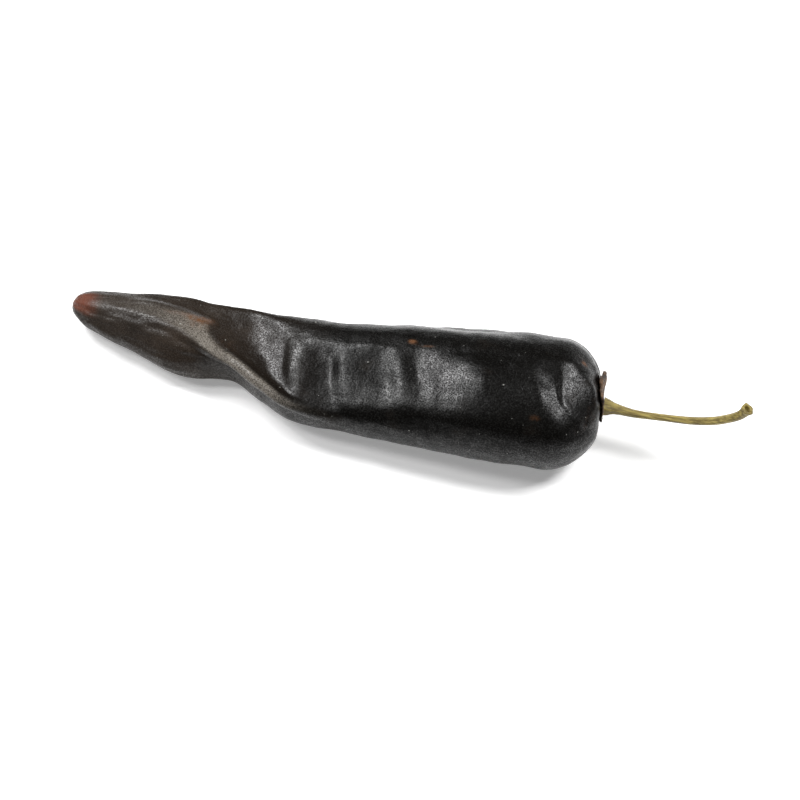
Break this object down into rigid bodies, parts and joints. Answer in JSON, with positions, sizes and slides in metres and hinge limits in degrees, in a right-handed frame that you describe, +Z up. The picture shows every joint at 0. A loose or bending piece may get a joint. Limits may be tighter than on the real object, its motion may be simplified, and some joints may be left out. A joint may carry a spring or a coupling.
{
  "type": "dried chilli",
  "caption": "Long dried chilli pod, shrivelled, near-black and lying flat, with a twisting fold, a brown lobed calyx and a thin stem that turns up at its cut end.",
  "frame": {"origin": "middle of the bounding box in plan, on the surface that the pod rests on", "axes": "+X along the pod towards the stem's cut end, +Z up, with the long fold's crest reaching the front edge at -Y"},
  "size_m": [0.1763, 0.0353, 0.024],
  "materials": {
    "pod_skin": "satin, wrinkled",
    "calyx_brown": "dry, matte",
    "stem_tan": "dry, matte"
  },
  "bodies": {
    "root": {"pod": "pod_skin", "calyx": "calyx_brown", "stem": "stem_tan"}
  },
  "joints": []
}
